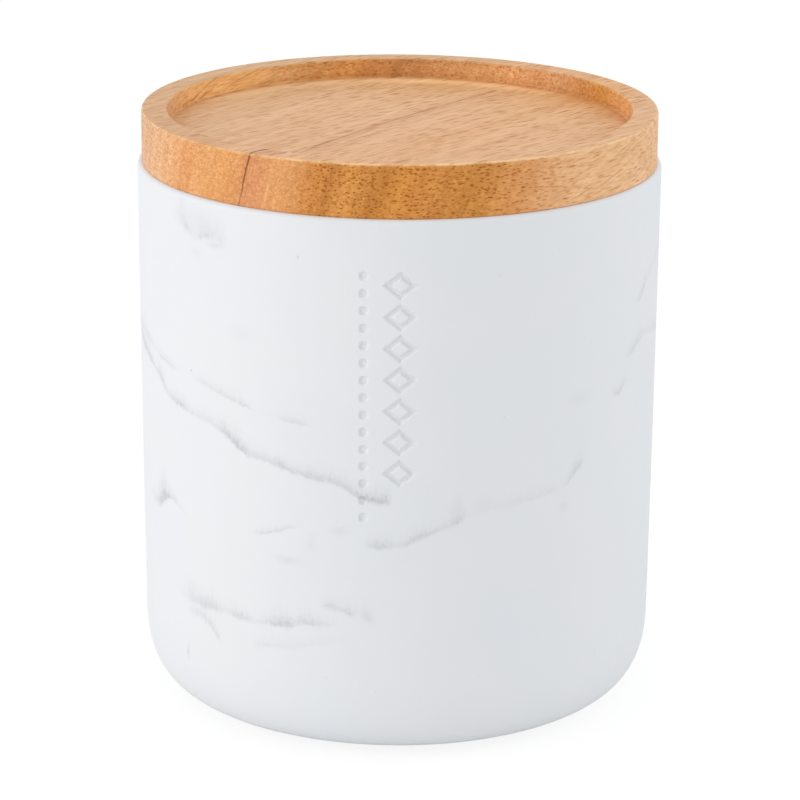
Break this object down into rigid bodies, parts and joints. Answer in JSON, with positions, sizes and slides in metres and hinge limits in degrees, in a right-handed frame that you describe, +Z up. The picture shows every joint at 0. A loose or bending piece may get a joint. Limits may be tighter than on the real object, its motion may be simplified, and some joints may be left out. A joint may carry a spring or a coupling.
{
  "type": "storage jar",
  "caption": "Round marble-effect storage jar with a soft lower edge, a lift-off wooden lid with a shallow tray in its top, a sealing ring, soft foot pads and a pressed front ornament.",
  "frame": {"origin": "on the shelf, under the middle of the jar: the bottom centre of the whole object", "axes": "+Z up along the jar's own axis, -Y the side that carries the ornament, +X to the right of someone who looks at the ornament"},
  "size_m": [0.096, 0.096, 0.1109],
  "materials": {
    "resin": "matte",
    "rubberwood": "satin",
    "silicone": "satin",
    "pad_rubber": "matte"
  },
  "bodies": {
    "jar": {"jar_body": "resin", "foot_pad_front_left": "pad_rubber", "foot_pad_back_left": "pad_rubber", "foot_pad_back_right": "pad_rubber", "foot_pad_front_right": "pad_rubber"},
    "seal": {"lid_seal": "silicone"},
    "lid": {"lid": "rubberwood"}
  },
  "joints": [
    {"name": "lid_lift", "type": "slide", "parent": "jar", "child": "seal", "axis": [0, 0, 1], "range_m": [0, 0.06]},
    {"name": "lid_turn", "type": "hinge", "parent": "seal", "child": "lid", "pos_m": [0, 0, 0.1012], "axis": [0, 0, 1], "continuous": true}
  ]
}
